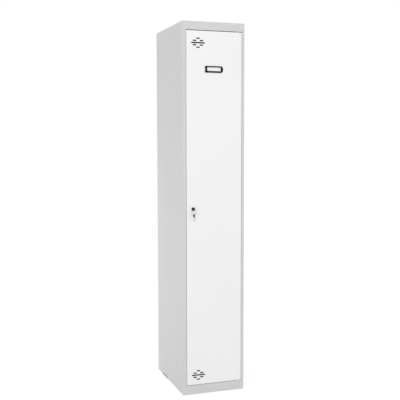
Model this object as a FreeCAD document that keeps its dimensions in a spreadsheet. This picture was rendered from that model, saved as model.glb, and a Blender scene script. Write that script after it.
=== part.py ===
import FreeCAD, Part
import math
import os
import re

import Sketcher

# Driving sizes in millimetres, and angles in degrees. Each one is a cell of the sheet.
SIZES = {
    # Whole locker
    "width": 315.0,
    "depth": 450.0,
    "height": 1800.0,
    # Carcass sheet metal
    "body_sheet": 0.8,
    "bend": 2.0,
    "lock_flange": 17.5,
    "hinge_flange": 12.6,
    "rear_flange": 15.0,
    "stop_depth": 23.2,
    "stop_reach": 14.5,
    "top_rail": 40.0,
    "rail_return": 28.0,
    "rail_lip": 10.0,
    "bottom_rail": 45.0,
    "skirt_return": 20.0,
    "weld_fold": 15.0,
    "wall_hole": 7.0,
    "wall_hole_spacing": 200.0,
    "wall_hole_drop": 110.0,
    "rivet": 3.2,
    "rivet_head": 6.4,
    "rivet_head_height": 1.2,
    "rivet_end": 60.0,
    # Feet and the angles that carry them
    "floor_gap": 1.0,
    "pad_height": 6.0,
    "angle_sheet": 1.5,
    "angle_leg": 20.0,
    "angle_setback": 30.0,
    "foot_width": 26.0,
    "foot_length": 100.0,
    "front_foot_inset": 6.0,
    "front_foot_setback": 40.0,
    "rear_foot_setback": 78.0,
    "foot_stem": 8.0,
    "foot_stem_height": 5.0,
    # Hat shelf and hanging rail
    "shelf_drop": 345.0,
    "shelf_setback": 45.0,
    "shelf_fold": 20.0,
    "shelf_lip": 10.0,
    "support_sheet": 1.2,
    "support_leg": 16.0,
    "support_setback": 20.0,
    "rail_diameter": 20.0,
    "rail_wall": 1.2,
    "rail_drop": 60.0,
    "rail_depth": 235.0,
    "strap_sheet": 2.0,
    "strap_width": 30.0,
    "strap_flange": 18.0,
    "strap_inset": 30.0,
    "rail_overhang": 6.0,
    "cap_diameter": 23.0,
    "cap_height": 3.0,
    "cap_spigot": 8.0,
    # Door pan
    "door_sheet": 1.0,
    "door_bend": 2.0,
    "door_depth": 20.0,
    "door_lip": 12.0,
    "lock_gap": 1.5,
    "hinge_gap": 1.4,
    "head_gap": 3.0,
    "sill_gap": 2.0,
    "hat_crown": 26.0,
    "hat_flange": 12.0,
    "hat_depth": 16.0,
    "hat_setback": 30.0,
    "buffer_diameter": 10.0,
    "buffer_setback": 250.0,
    # Vent slots in the door
    "vent_inset": 58.5,
    "vent_drop": 57.0,
    "vent_rise": 48.0,
    "vent_pitch": 10.4,
    "vent_slot": 6.3,
    "vent_round": 2.8,
    "vent_short": 17.5,
    "vent_long": 69.0,
    "vent_shift": 17.2,
    # Hidden pivots of the door
    "pivot_inset": 20.0,
    "pivot_depth": 8.0,
    "pin": 6.0,
    "pin_head": 10.0,
    "pin_head_height": 2.0,
    "pin_reach": 6.0,
    "pivot_plate": 2.5,
    "pivot_plate_width": 34.0,
    "pivot_plate_leg": 40.0,
    "bush": 9.0,
    "bush_flange": 12.0,
    "bush_flange_height": 1.5,
    "bush_length": 9.0,
    # Cam lock
    "lock_inset": 33.0,
    "lock_rise": 9.0,
    "bezel": 18.0,
    "bezel_proud": 2.0,
    "bezel_round": 0.8,
    "lock_barrel": 16.0,
    "lock_length": 24.0,
    "nut_corners": 25.0,
    "nut_height": 5.0,
    "plug": 11.0,
    "plug_recess": 0.5,
    "drive_square": 6.0,
    "cam_gap": 2.5,
    "cam_sheet": 2.0,
    "cam_length": 32.5,
    "cam_heel": 8.0,
    "cam_width": 14.0,
    "cam_round": 3.0,
    "washer": 13.0,
    "washer_sheet": 1.0,
    "screw": 4.0,
    "screw_head": 8.0,
    "screw_head_height": 3.0,
    "screw_length": 8.0,
    # Keys and ring
    "key_gap": 0.4,
    "head_length": 15.0,
    "head_height": 16.0,
    "head_thick": 3.2,
    "head_round": 6.0,
    "key_hole": 6.0,
    "hole_edge": 4.6,
    "blade_length": 20.0,
    "blade_height": 7.0,
    "blade_thick": 1.8,
    "tang_length": 5.0,
    "tang_height": 5.0,
    "bit_pitch": 4.0,
    "bit_width": 1.6,
    "bit_depth": 1.4,
    "ring_diameter": 24.0,
    "ring_wire": 1.4,
    # Label holder
    "label_drop": 180.0,
    "label_width": 91.5,
    "label_tall": 31.0,
    "label_thick": 3.4,
    "label_round": 5.0,
    "label_end_round": 12.0,
    "window_width": 69.0,
    "window_tall": 17.5,
    "window_raise": 1.0,
    "window_round": 1.5,
    "thumb_notch": 14.0,
    "thumb_depth": 3.0,
    "card_width": 81.0,
    "card_tall": 20.0,
    "card_thick": 0.4,
    "card_lap": 4.0,
    "peg": 2.8,
    "peg_spacing": 60.0,
    "peg_row": 23.8,
    "peg_reach": 1.5,
    # Clearances
    "fit": 0.05,
    "clearance": 0.3,
}

RIVET_ROWS = 8
BIT_COUNT = 4

# Places and sizes that follow from the driving ones. The front face of the carcass stands where
# the box round the whole locker, key included, is centred on the origin.
PLACES = {
    "half": "width / 2",
    "front_reach": "bezel_proud + key_gap + head_length",
    "front": "(front_reach - depth) / 2",
    "back": "front + depth",
    "inner": "half - body_sheet",
    "inner_bend": "bend - body_sheet",
    "flange_back": "front + body_sheet",
    "panel_back": "back - body_sheet",
    "panel_front": "back - 2 * body_sheet",
    "fold_front": "back - 3 * body_sheet",
    "rear_opening": "half - rear_flange",
    "lock_opening": "half - lock_flange",
    "lock_jamb": "lock_opening + 2 * bend",
    "lock_jamb_back": "lock_opening + body_sheet",
    "hinge_opening": "half - hinge_flange",
    "hinge_jamb": "hinge_opening + 2 * bend",
    "hinge_jamb_back": "hinge_opening + body_sheet",
    "stop_front": "front + stop_depth",
    "stop_back": "stop_front + body_sheet",
    "stop_tip": "lock_opening - stop_reach",
    "rail_low": "height - top_rail",
    "rail_low_inside": "rail_low + body_sheet",
    "roof_under": "height - body_sheet",
    "floor_under": "bottom_rail - body_sheet",
    "rivet_x": "half - rear_flange / 2",
    "rivet_pitch": f"(height - floor_gap - 2 * rivet_end) / {RIVET_ROWS - 1}",
    "angle_inside": "inner - angle_sheet",
    "angle_top": "pad_height + angle_sheet",
    "front_foot_y": "front + front_foot_setback + foot_length / 2",
    "rear_foot_y": "back - rear_foot_setback - foot_length / 2",
    "shelf_height": "height - shelf_drop",
    "shelf_under": "shelf_height - body_sheet",
    "shelf_edge": "front + shelf_setback",
    "shelf_low": "shelf_height - shelf_fold",
    "rail_y": "front + rail_depth",
    "rail_z": "shelf_under - rail_drop",
    "strap_x": "inner - strap_inset",
    "rail_half": "strap_x + strap_sheet + rail_overhang",
    "rail_bore": "rail_diameter / 2 - rail_wall",
    "door_left": "lock_gap - lock_opening",
    "door_right": "hinge_opening - hinge_gap",
    "door_side": "door_right - door_sheet",
    "door_top": "rail_low - head_gap",
    "door_low": "bottom_rail + sill_gap",
    "door_inside": "front + door_sheet",
    "door_back": "front + door_depth",
    "hat_half": "hat_crown / 2",
    "hat_back": "door_inside + hat_depth",
    "vent_x": "door_left + vent_inset",
    "vent_z": "door_top - vent_drop",
    "pivot_x": "door_right - pivot_inset",
    "pivot_y": "front + pivot_depth",
    "lock_x": "door_left + lock_inset",
    "lock_height": "(door_low + door_top) / 2 + lock_rise",
    "bezel_front": "front - bezel_proud",
    "cam_front": "stop_back + cam_gap",
    "cam_back": "cam_front + cam_sheet",
    "washer_back": "cam_back + washer_sheet",
    "blade_slot_depth": "blade_length + clearance",
    "head_end": "head_length - hole_edge",
    "hole_y": "bezel_front - key_gap - head_end",
    "ring_top": "lock_height - key_hole / 2 + ring_wire / 2 + clearance",
    "ring_low": "ring_top - ring_diameter",
    "spare_hole_z": "ring_low - key_hole / 2 + ring_wire / 2 + clearance",
    "label_height": "door_top - label_drop",
    "label_front": "front - label_thick",
    "card_pocket": "card_thick + 2 * clearance",
    "card_right": "window_width / 2 + card_lap",
    "card_left": "card_right - card_width",
}

doc = FreeCAD.newDocument("locker")
sheet = doc.addObject("Spreadsheet::Sheet", "sizes")
for row, (alias, size) in enumerate(SIZES.items(), start=1):
    sheet.set(f"A{row}", alias)
    sheet.set(f"B{row}", str(size))
    sheet.setAlias(f"B{row}", alias)
doc.recompute()

pieces = []


def formula(words):
    """Write a size formula out in sheet cells."""

    def cell(match):
        word = match.group(0)
        if word in PLACES:
            return "(" + formula(PLACES[word]) + ")"
        return "sizes." + word if word in SIZES else word

    return re.sub(r"[a-z][a-z_]*", cell, words)


def number(words):
    """The present value of a size formula."""
    return float(sheet.evalExpression(formula(words)))


def bind(thing, **sizes):
    """Tie properties of an object to size formulas."""
    for name, words in sizes.items():
        thing.setExpression(name, formula(words))


def place(thing, x, y, z, turn=None):
    """Put an object at a place given by formulas, with a fixed turn."""
    thing.Placement = FreeCAD.Placement(FreeCAD.Vector(), turn or FreeCAD.Rotation())
    for axis, words in zip("xyz", (x, y, z)):
        thing.setExpression(f"Placement.Base.{axis}", formula(words))


def new_body(label):
    body = doc.addObject("PartDesign::Body", label)
    body.Label = label
    pieces.append(body)
    return body


def origin_plane(body, role):
    return next(item for item in body.Origin.OriginFeatures if item.Role == role)


def pin_line(sketch, line, level, words):
    """Fix a level line's height, or an upright line's distance, from the sketch's origin."""
    kind = "DistanceY" if level else "DistanceX"
    index = sketch.addConstraint(Sketcher.Constraint(kind, -1, 1, line, 1, number(words)))
    sketch.setExpression(f"Constraints[{index}]", formula(words))


def draw_circle(sketch, u, v, radius):
    centre = FreeCAD.Vector(number(u), number(v), 0)
    normal = FreeCAD.Vector(0, 0, 1)
    circle = sketch.addGeometry(Part.Circle(centre, normal, number(radius)), False)
    for kind, words in (("DistanceX", u), ("DistanceY", v)):
        index = sketch.addConstraint(Sketcher.Constraint(kind, -1, 1, circle, 3, number(words)))
        sketch.setExpression(f"Constraints[{index}]", formula(words))
    index = sketch.addConstraint(Sketcher.Constraint("Radius", circle, number(radius)))
    sketch.setExpression(f"Constraints[{index}]", formula(radius))


def draw_outline(sketch, corners):
    """Draw a closed outline of level and upright lines, where a corner (u, v, r) is rounded."""
    count = len(corners)
    points = [FreeCAD.Vector(number(c[0]), number(c[1]), 0) for c in corners]
    radii = [number(c[2]) if len(c) > 2 else 0.0 for c in corners]
    ways = []
    lines = []
    for i in range(count):
        j = (i + 1) % count
        way = (points[j] - points[i]).normalize()
        ways.append(way)
        start = points[i] + way * radii[i]
        end = points[j] - way * radii[j]
        line = sketch.addGeometry(Part.LineSegment(start, end), False)
        lines.append(line)
        level = abs(way.y) < abs(way.x)
        sketch.addConstraint(Sketcher.Constraint("Horizontal" if level else "Vertical", line))
        pin_line(sketch, line, level, corners[i][1] if level else corners[i][0])
    for i in range(count):
        before, after = lines[i - 1], lines[i]
        if not radii[i]:
            sketch.addConstraint(Sketcher.Constraint("Coincident", before, 2, after, 1))
            continue
        centre = points[i] + (ways[i] - ways[i - 1]) * radii[i]
        left_turn = ways[i - 1].cross(ways[i]).z > 0
        enter = points[i] - ways[i - 1] * radii[i] - centre
        leave = points[i] + ways[i] * radii[i] - centre
        first, last = (enter, leave) if left_turn else (leave, enter)
        circle = Part.Circle(centre, FreeCAD.Vector(0, 0, 1), radii[i])
        angles = [math.atan2(first.y, first.x), math.atan2(last.y, last.x)]
        arc = sketch.addGeometry(Part.ArcOfCircle(circle, *angles), False)
        enter_end, leave_end = (1, 2) if left_turn else (2, 1)
        sketch.addConstraint(Sketcher.Constraint("Tangent", before, 2, arc, enter_end))
        sketch.addConstraint(Sketcher.Constraint("Tangent", arc, leave_end, after, 1))
        index = sketch.addConstraint(Sketcher.Constraint("Radius", arc, radii[i]))
        sketch.setExpression(f"Constraints[{index}]", formula(corners[i][2]))


def draw(body, role, loops, level):
    """Sketch loops on a plane of the body: a list is an outline, a tuple a circle (u, v, r)."""
    sketch = body.newObject("Sketcher::SketchObject", "Sketch")
    sketch.AttachmentSupport = [(origin_plane(body, role), "")]
    sketch.MapMode = "FlatFace"
    side = "-1" if role == "XZ_Plane" else "1"
    sketch.setExpression("AttachmentOffset.Base.z", formula(f"{side} * ({level})"))
    for loop in loops:
        if isinstance(loop, tuple):
            draw_circle(sketch, *loop)
        else:
            draw_outline(sketch, loop)
    return sketch


def pad(body, role, loops, low, high):
    """Fill loops between two places along the axis that is square to the plane."""
    feature = body.newObject("PartDesign::Pad", "Pad")
    feature.Profile = draw(body, role, loops, high if role == "XZ_Plane" else low)
    bind(feature, Length=f"({high}) - ({low})")
    doc.recompute()
    return feature


def cut(body, role, loops, low, high):
    """Cut loops out between two places along the axis that is square to the plane."""
    feature = body.newObject("PartDesign::Pocket", "Pocket")
    feature.Profile = draw(body, role, loops, low if role == "XZ_Plane" else high)
    bind(feature, Length=f"({high}) - ({low})")
    doc.recompute()
    return feature


def round_edges(body, chosen, radius):
    """Round the edges of the body so far that a test picks."""
    base = body.Tip
    names = [f"Edge{i}" for i, edge in enumerate(base.Shape.Edges, start=1) if chosen(edge)]
    feature = body.newObject("PartDesign::Fillet", "Fillet")
    feature.Base = (base, names)
    bind(feature, Radius=radius)
    doc.recompute()


def edge_lies_at(axis, words):
    """A test for edges that lie wholly at one place along an axis."""
    level = number(words)

    def chosen(edge):
        box = edge.BoundBox
        low, high = getattr(box, axis + "Min"), getattr(box, axis + "Max")
        return abs(low - level) < 1e-4 and abs(high - level) < 1e-4

    return chosen


def box_loop(u_low, u_high, v_low, v_high, radius=None):
    """The outline of a rectangle, with one radius at all its corners."""
    corners = [(u_low, v_low), (u_high, v_low), (u_high, v_high), (u_low, v_high)]
    return [corner + (radius,) for corner in corners] if radius else corners


def on_side(sign, loop):
    """Carry an outline of distances from the middle to the left (-1) or right (1) side."""
    return [(f"{sign} * ({corner[0]})", *corner[1:]) for corner in loop]


def side_span(sign, near, far):
    """Two distances from the middle as low and high places on the left or right side."""
    return (near, far) if sign == "1" else (f"-({far})", f"-({near})")


SIDES = (("left", "-1"), ("right", "1"))


# Carcass


def rivet_loops(sign, radius):
    rows = [f"floor_gap + rivet_end + {i} * rivet_pitch" for i in range(RIVET_ROWS)]
    return [(f"{sign} * rivet_x", row, radius) for row in rows]


def side_panel(label, sign):
    """Side with front and rear flanges, the door jamb behind the front one and a notch for a foot."""
    body = new_body(label)
    jamb = "lock_jamb" if sign == "-1" else "hinge_jamb"
    shell = [
        (jamb, "front"),
        ("half", "front", "bend"),
        ("half", "back", "bend"),
        ("rear_opening", "back"),
        ("rear_opening", "panel_back"),
        ("inner", "panel_back", "inner_bend"),
        ("inner", "flange_back", "inner_bend"),
        (jamb, "flange_back"),
    ]
    lock_side = [
        ("lock_jamb", "front"),
        ("lock_opening", "front", "bend"),
        ("lock_opening", "stop_front", "inner_bend"),
        ("stop_tip", "stop_front"),
        ("stop_tip", "stop_back"),
        ("lock_jamb_back", "stop_back", "bend"),
        ("lock_jamb_back", "flange_back", "inner_bend"),
        ("lock_jamb", "flange_back"),
    ]
    hinge_side = [
        ("hinge_jamb", "front"),
        ("hinge_opening", "front", "bend"),
        ("hinge_opening", "stop_back", "bend"),
        ("inner - bend", "stop_back"),
        ("inner - bend", "stop_front"),
        ("hinge_jamb_back", "stop_front", "inner_bend"),
        ("hinge_jamb_back", "flange_back", "inner_bend"),
        ("hinge_jamb", "flange_back"),
    ]
    jamb_loop = lock_side if sign == "-1" else hinge_side
    pad(body, "XY_Plane", [on_side(sign, shell)], "floor_gap", "height")
    pad(body, "XY_Plane", [on_side(sign, jamb_loop)], "bottom_rail", "rail_low")
    foot_notch = box_loop(
        "rear_foot_y - foot_length / 2 - clearance",
        "rear_foot_y + foot_length / 2 + clearance",
        "0",
        "pad_height",
    )
    cut(body, "YZ_Plane", [foot_notch], *side_span(sign, "inner", "half"))
    cut(body, "XZ_Plane", rivet_loops(sign, "rivet / 2 + fit"), "panel_back", "back")


def sheet_with_folds(body, level, under, fold_low):
    """A level sheet across the carcass, welded to the sides through folds at its two ends."""
    web = box_loop("-(inner)", "inner", "flange_back", "panel_front", "bend")
    fold = box_loop("flange_back + bend", "panel_front - bend", fold_low, level)
    pad(body, "XY_Plane", [web], under, level)
    for _, sign in SIDES:
        pad(body, "YZ_Plane", [fold], *side_span(sign, "inner - body_sheet", "inner"))


def roof_panel():
    """Roof with the top rail folded down at the front and returned under the header."""
    body = new_body("roof_panel")
    header = [
        ("front", "rail_low", "bend"),
        ("front", "height", "bend"),
        ("panel_front", "height", "bend"),
        ("panel_front", "height - weld_fold"),
        ("fold_front", "height - weld_fold"),
        ("fold_front", "roof_under", "inner_bend"),
        ("flange_back", "roof_under", "inner_bend"),
        ("flange_back", "rail_low_inside", "inner_bend"),
        ("front + rail_return - body_sheet", "rail_low_inside", "inner_bend"),
        ("front + rail_return - body_sheet", "rail_low + rail_lip"),
        ("front + rail_return", "rail_low + rail_lip"),
        ("front + rail_return", "rail_low", "bend"),
    ]
    pad(body, "YZ_Plane", [header], "-(lock_jamb)", "hinge_jamb")
    sheet_with_folds(body, "height", "roof_under", "height - weld_fold")
    bush_hole = ("pivot_x", "pivot_y", "bush / 2 + fit")
    cut(body, "XY_Plane", [bush_hole], "rail_low", "rail_low_inside")


def base_panel():
    """Floor with the bottom rail folded down at the front and returned along the ground."""
    body = new_body("base_panel")
    skirt = [
        ("front", "floor_gap", "bend"),
        ("front + skirt_return", "floor_gap"),
        ("front + skirt_return", "floor_gap + body_sheet"),
        ("flange_back", "floor_gap + body_sheet", "inner_bend"),
        ("flange_back", "floor_under", "inner_bend"),
        ("fold_front", "floor_under", "inner_bend"),
        ("fold_front", "bottom_rail - weld_fold"),
        ("panel_front", "bottom_rail - weld_fold"),
        ("panel_front", "bottom_rail", "bend"),
        ("front", "bottom_rail", "bend"),
    ]
    pad(body, "YZ_Plane", [skirt], "-(lock_jamb)", "hinge_jamb")
    sheet_with_folds(body, "bottom_rail", "floor_under", "bottom_rail - weld_fold")
    bush_hole = ("pivot_x", "pivot_y", "bush / 2 + fit")
    cut(body, "XY_Plane", [bush_hole], "floor_under", "bottom_rail")


def back_panel():
    """Plain sheet behind the folds, with two holes for fixing to a wall."""
    body = new_body("back_panel")
    panel = box_loop("bend - inner", "inner - bend", "floor_gap", "height")
    pad(body, "XZ_Plane", [panel], "panel_front", "panel_back")
    holes = [
        (f"{sign} * wall_hole_spacing / 2", "height - wall_hole_drop", "wall_hole / 2")
        for _, sign in SIDES
    ]
    for _, sign in SIDES:
        holes += rivet_loops(sign, "rivet / 2 + fit")
    cut(body, "XZ_Plane", holes, "panel_front", "panel_back")


def back_rivets():
    """Two columns of blind rivets, each with its head outside and its upset end inside."""
    body = new_body("back_rivets")
    body.AllowCompound = True

    def both_columns(radius):
        return [loop for _, sign in SIDES for loop in rivet_loops(sign, radius)]

    pad(body, "XZ_Plane", both_columns("rivet / 2"), "panel_front", "back")
    pad(body, "XZ_Plane", both_columns("rivet_head / 2"), "back", "back + rivet_head_height")
    pad(body, "XZ_Plane", both_columns("rivet * 0.8"), "panel_front - rivet / 2", "panel_front")
    rim = edge_lies_at("Y", "back + rivet_head_height")
    round_edges(body, rim, "rivet_head_height * 0.8")


def floor_angle(label, sign):
    """Angle along the foot of a side panel, with holes for the stems of its two feet."""
    body = new_body(label)
    section = [
        ("inner", "pad_height", "bend"),
        ("inner", "pad_height + angle_leg"),
        ("angle_inside", "pad_height + angle_leg"),
        ("angle_inside", "angle_top", "bend - angle_sheet"),
        ("inner - angle_leg", "angle_top"),
        ("inner - angle_leg", "pad_height"),
    ]
    span = ("front + angle_setback", "fold_front - angle_setback")
    pad(body, "XZ_Plane", [on_side(sign, section)], *span)
    stems = [foot_stem_loop(sign, middle) for _, middle, _ in FEET]
    stem_holes = [(x, y, "foot_stem / 2 + fit") for x, y, _ in stems]
    cut(body, "XY_Plane", stem_holes, "pad_height", "angle_top")


# Each foot: its name, the middle of its length, and its outer edge from the middle of the locker.
FEET = (
    ("front", "front_foot_y", "half - front_foot_inset"),
    ("rear", "rear_foot_y", "half"),
)


def foot_stem_loop(sign, middle):
    return (f"{sign} * (inner - angle_leg / 2 - angle_sheet / 2)", middle, "foot_stem / 2")


def foot(label, sign, middle, outer):
    """Flat pad under the side with a stem pushed into the floor angle."""
    body = new_body(label)
    length = (f"{middle} - foot_length / 2", f"{middle} + foot_length / 2")
    tread = box_loop(f"{outer} - foot_width", outer, *length)
    pad(body, "XY_Plane", [on_side(sign, tread)], "0", "pad_height")
    stem = foot_stem_loop(sign, middle)
    pad(body, "XY_Plane", [stem], "pad_height", "pad_height + foot_stem_height")


# Inside of the carcass


def shelf():
    """Hat shelf with a folded and returned front edge and a rear fold."""
    body = new_body("shelf")
    section = [
        ("shelf_edge", "shelf_height", "bend"),
        ("panel_front", "shelf_height", "bend"),
        ("panel_front", "shelf_low"),
        ("fold_front", "shelf_low"),
        ("fold_front", "shelf_under", "inner_bend"),
        ("shelf_edge + body_sheet", "shelf_under", "inner_bend"),
        ("shelf_edge + body_sheet", "shelf_low + body_sheet", "inner_bend"),
        ("shelf_edge + shelf_lip", "shelf_low + body_sheet"),
        ("shelf_edge + shelf_lip", "shelf_low"),
        ("shelf_edge", "shelf_low", "bend"),
    ]
    pad(body, "YZ_Plane", [section], "clearance - inner", "inner - clearance")


def shelf_support(label, sign):
    """Angle on the side panel that the shelf rests on."""
    body = new_body(label)
    section = [
        ("inner", "shelf_under", "bend"),
        ("inner - support_leg", "shelf_under"),
        ("inner - support_leg", "shelf_under - support_sheet"),
        ("inner - support_sheet", "shelf_under - support_sheet", "bend - support_sheet"),
        ("inner - support_sheet", "shelf_under - support_leg"),
        ("inner", "shelf_under - support_leg"),
    ]
    span = ("shelf_edge + support_setback", "fold_front - support_setback")
    pad(body, "XZ_Plane", [on_side(sign, section)], *span)


def rail_bracket(label, sign):
    """Strap welded under the shelf, with an eye for the hanging rail."""
    body = new_body(label)
    strap = [
        ("rail_y - strap_width / 2", "rail_z - strap_width / 2", "strap_width / 3"),
        ("rail_y + strap_width / 2", "rail_z - strap_width / 2", "strap_width / 3"),
        ("rail_y + strap_width / 2", "shelf_under"),
        ("rail_y - strap_width / 2", "shelf_under"),
    ]
    pad(body, "YZ_Plane", [strap], *side_span(sign, "strap_x", "strap_x + strap_sheet"))
    flange = box_loop(
        "strap_x - strap_flange",
        "strap_x",
        "rail_y - strap_width / 2",
        "rail_y + strap_width / 2",
    )
    pad(body, "XY_Plane", [on_side(sign, flange)], "shelf_under - strap_sheet", "shelf_under")
    eye = ("rail_y", "rail_z", "rail_diameter / 2 + fit")
    cut(body, "YZ_Plane", [eye], *side_span(sign, "strap_x", "strap_x + strap_sheet"))


def hanging_rail():
    body = new_body("hanging_rail")
    tube = [("rail_y", "rail_z", "rail_diameter / 2"), ("rail_y", "rail_z", "rail_bore")]
    pad(body, "YZ_Plane", tube, "-(rail_half)", "rail_half")


def rail_cap(label, sign):
    """Plastic cap with a spigot inside the rail's end."""
    body = new_body(label)
    spigot = ("rail_y", "rail_z", "rail_bore - fit")
    head = ("rail_y", "rail_z", "cap_diameter / 2")
    pad(body, "YZ_Plane", [spigot], *side_span(sign, "rail_half - cap_spigot", "rail_half"))
    pad(body, "YZ_Plane", [head], *side_span(sign, "rail_half", "rail_half + cap_height"))
    rim = edge_lies_at("X", f"{sign} * (rail_half + cap_height)")
    round_edges(body, rim, "cap_height / 2")


def buffer(label, height):
    """Rubber pad on the stop that the closed door nearly touches."""
    body = new_body(label)
    disc = ("-(lock_opening + stop_tip) / 2", height, "buffer_diameter / 2")
    pad(body, "XZ_Plane", [disc], "door_back + clearance", "stop_front")


def pivot_bush(label, seat, away):
    """Flanged bush in the frame; away is 1 where the bush goes up from its seat, or -1 down."""
    body = new_body(label)
    flange = ("pivot_x", "pivot_y", "bush_flange / 2")
    barrel = ("pivot_x", "pivot_y", "bush / 2")
    bore = ("pivot_x", "pivot_y", "pin / 2 + fit")
    spans = {
        "1": (f"{seat} - bush_flange_height", seat, f"{seat} + bush_length"),
        "-1": (f"{seat} - bush_length", seat, f"{seat} + bush_flange_height"),
    }
    low, middle, high = spans[away]
    pad(body, "XY_Plane", [flange if away == "1" else barrel], low, middle)
    pad(body, "XY_Plane", [barrel if away == "1" else flange], middle, high)
    cut(body, "XY_Plane", [bore], low, high)


# Door


def vent_loops(centre):
    """One group of slots: rows of one, two, one long, two and one, a pitch apart."""
    rows = ((2, ("0",), "vent_short"), (1, ("-1", "1"), "vent_short"), (0, ("0",), "vent_long"))
    loops = []
    for step, shifts, length in rows:
        for up in sorted({step, -step}):
            height = f"{centre} + {up} * vent_pitch"
            for shift in shifts:
                middle = f"vent_x + {shift} * vent_shift"
                loops.append(
                    box_loop(
                        f"{middle} - {length} / 2",
                        f"{middle} + {length} / 2",
                        f"{height} - vent_slot / 2",
                        f"{height} + vent_slot / 2",
                        "vent_round",
                    )
                )
    return loops


def peg_loops(radius):
    return [
        (f"{across} * peg_spacing / 2", f"label_height + {up} * peg_row / 2", radius)
        for across in ("-1", "1")
        for up in ("-1", "1")
    ]


def door_panel():
    """Folded pan with lips on its long edges, vent slots and holes for its fittings."""
    body = new_body("door_panel")
    leaf = box_loop("door_left", "door_right", "door_low", "door_top")
    pad(body, "XZ_Plane", [leaf], "front", "door_back")
    round_edges(body, edge_lies_at("Y", "front"), "door_bend")
    inside = box_loop(
        "door_left + door_sheet", "door_side", "door_low + door_sheet", "door_top - door_sheet"
    )
    cut(body, "XZ_Plane", [inside], "door_inside", "door_back")
    round_edges(body, edge_lies_at("Y", "door_inside"), "door_bend - door_sheet")
    lips = (
        box_loop("door_left + door_sheet", "door_left + door_lip", "door_low", "door_top"),
        box_loop("door_right - door_lip", "door_side", "door_low", "door_top"),
    )
    for lip in lips:
        pad(body, "XZ_Plane", [lip], "door_back - door_sheet", "door_back")
    for centre in ("vent_z", "door_low + vent_rise"):
        cut(body, "XZ_Plane", vent_loops(centre), "front", "door_inside")
    lock_hole = ("lock_x", "lock_height", "lock_barrel / 2 + fit")
    cut(body, "XZ_Plane", [lock_hole], "front", "door_inside")
    cut(body, "XZ_Plane", peg_loops("peg / 2 + fit"), "front", "door_inside")
    pin_hole = ("pivot_x", "pivot_y", "pin / 2 + fit")
    cut(body, "XY_Plane", [pin_hole], "door_top - door_sheet", "door_top")
    cut(body, "XY_Plane", [pin_hole], "door_low", "door_low + door_sheet")


def door_stiffener():
    """Hat section up the middle of the door's inner face."""
    body = new_body("door_stiffener")
    half_hat = [
        ("hat_half + hat_flange", "door_inside"),
        ("hat_half + hat_flange", "door_inside + body_sheet"),
        ("hat_half", "door_inside + body_sheet", "inner_bend"),
        ("hat_half", "hat_back", "bend"),
    ]
    half_hollow = [
        ("hat_half - body_sheet", "hat_back - body_sheet", "inner_bend"),
        ("hat_half - body_sheet", "door_inside", "bend"),
    ]
    hat = on_side("1", half_hat) + on_side("-1", half_hat[::-1])
    hat += on_side("-1", half_hollow[::-1]) + on_side("1", half_hollow)
    span = ("door_low + door_sheet + hat_setback", "door_top - door_sheet - hat_setback")
    pad(body, "XY_Plane", [hat], *span)


def pivot_bracket(label, edge, into):
    """Angle in a corner of the pan that holds a pivot pin; into is 1 up into the door, -1 down."""
    body = new_body(label)
    plate = f"{edge} + {into} * pivot_plate"
    leg = f"{edge} + {into} * pivot_plate_leg"
    section = [
        ("door_side", edge),
        ("door_side - pivot_plate_width", edge),
        ("door_side - pivot_plate_width", plate),
        ("door_side - pivot_plate", plate),
        ("door_side - pivot_plate", leg),
        ("door_side", leg),
    ]
    pad(body, "XZ_Plane", [section], "door_inside + door_bend", "door_back - door_sheet")
    low, high = (edge, plate) if into == "1" else (plate, edge)
    cut(body, "XY_Plane", [("pivot_x", "pivot_y", "pin / 2 + fit")], low, high)


def pivot_pin(label, seat, tip, into):
    """Headed pin from inside the door through its bracket and edge into the frame's bush."""
    body = new_body(label)
    shank = ("pivot_x", "pivot_y", "pin / 2")
    head = ("pivot_x", "pivot_y", "pin_head / 2")
    far = f"{seat} + {into} * pin_head_height"
    pad(body, "XY_Plane", [shank], *((tip, seat) if into == "1" else (seat, tip)))
    pad(body, "XY_Plane", [head], *((seat, far) if into == "1" else (far, seat)))


def label_frame():
    """Black holder with a window, a card pocket open to the left, and four pegs."""
    body = new_body("label_frame")
    left, right = "-label_width / 2", "label_width / 2"
    low, high = "label_height - label_tall / 2", "label_height + label_tall / 2"
    plate = [
        (left, low, "label_round"),
        (right, low, "label_end_round"),
        (right, high, "label_end_round"),
        (left, high, "label_round"),
    ]
    window_z = "label_height + window_raise"
    window = box_loop(
        "-window_width / 2",
        "window_width / 2",
        f"{window_z} - window_tall / 2",
        f"{window_z} + window_tall / 2",
        "window_round",
    )
    pocket = box_loop(
        f"{left} - clearance",
        "card_right + clearance",
        "label_height - card_tall / 2 - clearance",
        "label_height + card_tall / 2 + clearance",
    )
    notch = (f"{left} + thumb_depth - thumb_notch / 2", "label_height", "thumb_notch / 2")
    pad(body, "XZ_Plane", [plate], "label_front", "front")
    cut(body, "XZ_Plane", [window], "label_front", "front")
    round_edges(body, edge_lies_at("Y", "label_front"), "label_thick / 3")
    cut(body, "XZ_Plane", [pocket], "front - card_pocket", "front")
    cut(body, "XZ_Plane", [notch], "label_front", "front")
    pad(body, "XZ_Plane", peg_loops("peg / 2"), "front", "door_inside + peg_reach")


def label_card():
    """Bare card in the holder's pocket."""
    body = new_body("label_card")
    card = box_loop(
        "card_left",
        "card_right",
        "label_height - card_tall / 2",
        "label_height + card_tall / 2",
    )
    pad(body, "XZ_Plane", [card], "front - clearance - card_thick", "front - clearance")


# Lock


def lock_housing():
    """Barrel through the door with a round bezel on its face."""
    body = new_body("lock_housing")
    at = ("lock_x", "lock_height")
    pad(body, "XZ_Plane", [(*at, "bezel / 2")], "bezel_front", "front")
    round_edges(body, edge_lies_at("Y", "bezel_front"), "bezel_round")
    pad(body, "XZ_Plane", [(*at, "lock_barrel / 2")], "front", "front + lock_length")
    cut(body, "XZ_Plane", [(*at, "plug / 2 + fit")], "bezel_front", "front + lock_length")


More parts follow.
